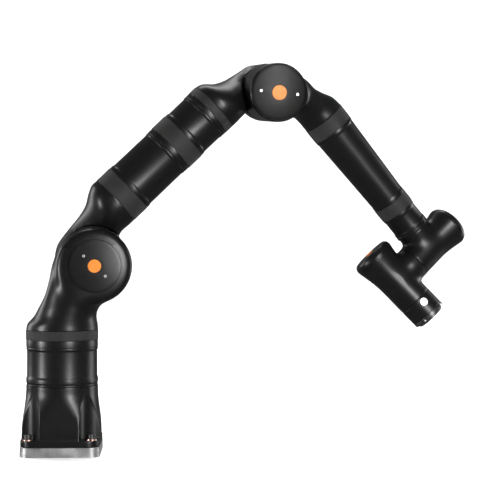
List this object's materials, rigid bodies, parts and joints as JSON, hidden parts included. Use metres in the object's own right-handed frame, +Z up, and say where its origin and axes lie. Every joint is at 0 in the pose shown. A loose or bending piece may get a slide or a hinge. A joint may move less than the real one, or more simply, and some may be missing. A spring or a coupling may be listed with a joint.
{
  "type": "collaborative robot arm",
  "caption": "Collaborative robot arm: black cast joint housings, tubular links with soft grey bands, amber lenses, square bolted foot on a plate, round tool flange",
  "frame": {"origin": "centre of the underside of the square mounting plate", "axes": "+Z up along the base axis, +X the way the arm reaches, +Y towards the connector panel at the back"},
  "size_m": [0.9464, 0.2886, 0.8145],
  "materials": {
    "painted_casting": "satin black paint on cast aluminium",
    "elastomer": "matte dark grey elastomer",
    "amber_lens": "glossy amber plastic",
    "plate_aluminium": "milled and brushed",
    "black_bolt": "black oxide steel",
    "copper_washer": "coppered sealing washer",
    "bright_screw": "bright stainless",
    "connector_metal": "nickel plated",
    "connector_plastic": "black moulded plastic",
    "flange_black": "black hard anodised",
    "motor_steel": "laminated steel and windings",
    "gear_steel": "ground steel"
  },
  "bodies": {
    "base": {"mounting_plate": "plate_aluminium", "base_casting": "painted_casting", "base_bolts": "black_bolt", "base_washers": "copper_washer", "connector_panel": "connector_plastic", "base_drive_housing": "painted_casting", "base_motor": "motor_steel", "base_gear": "gear_steel"},
    "shoulder": {"base_output_flange": "gear_steel", "base_joint_band": "elastomer", "shoulder_housing": "painted_casting", "shoulder_cover": "painted_casting", "shoulder_cover_screws": "bright_screw", "shoulder_lens": "amber_lens", "shoulder_motor": "motor_steel", "shoulder_gear": "gear_steel"},
    "upper_arm": {"shoulder_output_flange": "gear_steel", "upper_arm_knuckle": "painted_casting", "upper_arm_rear_cover": "painted_casting", "upper_arm_rear_screws": "bright_screw", "lower_arm_band": "elastomer", "upper_arm_tube": "painted_casting", "middle_arm_band": "elastomer", "roll_drive_housing": "painted_casting", "upper_roll_motor": "motor_steel", "upper_roll_gear": "gear_steel"},
    "elbow": {"upper_roll_output_flange": "gear_steel", "elbow_joint_band": "elastomer", "elbow_housing": "painted_casting", "elbow_rear_cover": "painted_casting", "elbow_rear_screws": "bright_screw", "elbow_motor": "motor_steel", "elbow_gear": "gear_steel"},
    "forearm": {"elbow_output_flange": "gear_steel", "forearm_knuckle": "painted_casting", "elbow_cover": "painted_casting", "elbow_cover_screws": "bright_screw", "elbow_lens": "amber_lens", "forearm_band": "elastomer", "forearm_tube": "painted_casting", "wrist_band": "elastomer", "forearm_drive_housing": "painted_casting", "forearm_roll_motor": "motor_steel", "forearm_roll_gear": "gear_steel"},
    "wrist": {"forearm_roll_output_flange": "gear_steel", "wrist_housing": "painted_casting", "wrist_cap": "painted_casting", "wrist_motor": "motor_steel", "wrist_gear": "gear_steel"},
    "tool_drive": {"wrist_output_flange": "gear_steel", "tool_drive_housing": "painted_casting", "tool_drive_cap": "painted_casting", "tool_cap_lens": "amber_lens", "tool_motor": "motor_steel", "tool_gear": "gear_steel"},
    "tool": {"tool_output_flange": "gear_steel", "tool_head": "painted_casting", "tool_connector": "connector_metal", "tool_flange": "flange_black", "flange_screws": "bright_screw"}
  },
  "joints": [
    {"name": "base_rotation", "type": "hinge", "parent": "base", "child": "shoulder", "pos_m": [0, 0, 0.233], "axis": [0, 0, 1], "range_deg": [-360, 360]},
    {"name": "shoulder_tilt", "type": "hinge", "parent": "shoulder", "child": "upper_arm", "pos_m": [0.06376, 0.00558, 0.384], "axis": [-0.0872, 0.9962, 0], "range_deg": [-87, 130]},
    {"name": "upper_arm_roll", "type": "hinge", "parent": "upper_arm", "child": "elbow", "pos_m": [0.29922, 0.02618, 0.70116], "axis": [0.7202, 0.063, 0.6909], "range_deg": [-360, 360]},
    {"name": "elbow_bend", "type": "hinge", "parent": "elbow", "child": "forearm", "pos_m": [0.43443, 0.04624, 0.74654], "axis": [0.1774, -0.9795, -0.0956], "range_deg": [-62, 142]},
    {"name": "forearm_roll", "type": "hinge", "parent": "forearm", "child": "wrist", "pos_m": [0.74657, 0.13078, 0.45972], "axis": [0.6347, 0.1881, -0.7495], "range_deg": [-360, 360]},
    {"name": "wrist_bend", "type": "hinge", "parent": "wrist", "child": "tool_drive", "pos_m": [0.74476, 0.1241, 0.3858], "axis": [0.6818, 0.3201, 0.6577], "range_deg": [-360, 360]},
    {"name": "tool_rotation", "type": "hinge", "parent": "tool_drive", "child": "tool", "pos_m": [0.74775, 0.10526, 0.30672], "axis": [0.698, -0.0156, -0.7159], "range_deg": [-360, 360]}
  ]
}
